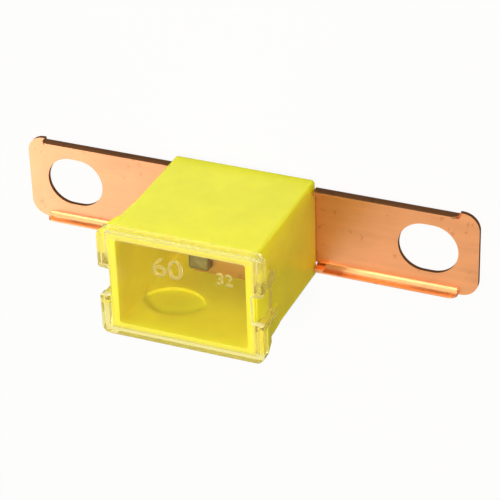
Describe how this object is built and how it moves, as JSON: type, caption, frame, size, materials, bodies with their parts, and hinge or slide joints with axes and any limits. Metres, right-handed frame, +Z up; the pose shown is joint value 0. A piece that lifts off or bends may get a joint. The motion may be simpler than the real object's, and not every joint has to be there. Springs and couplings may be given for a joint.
{
  "type": "fuse link",
  "caption": "Bolt-down cartridge fuse link: yellow moulded housing, clear clip-fitted cover, copper blades with oblong bolt holes.",
  "frame": {"origin": "midway between the two bolt holes, on the plane of the blades' undersides", "axes": "+X along the blades, +Y across them, +Z up through the clear cover"},
  "size_m": [0.055, 0.0132, 0.0192],
  "materials": {
    "yellow_plastic": "smooth moulded, slightly translucent",
    "clear_plastic": "clear, polished",
    "copper": "satin rolled copper sheet",
    "tin": "dull cast tin"
  },
  "bodies": {
    "root": {"housing": "yellow_plastic", "cover": "clear_plastic", "fuse_element": "copper", "tin_pellet": "tin"}
  },
  "joints": []
}
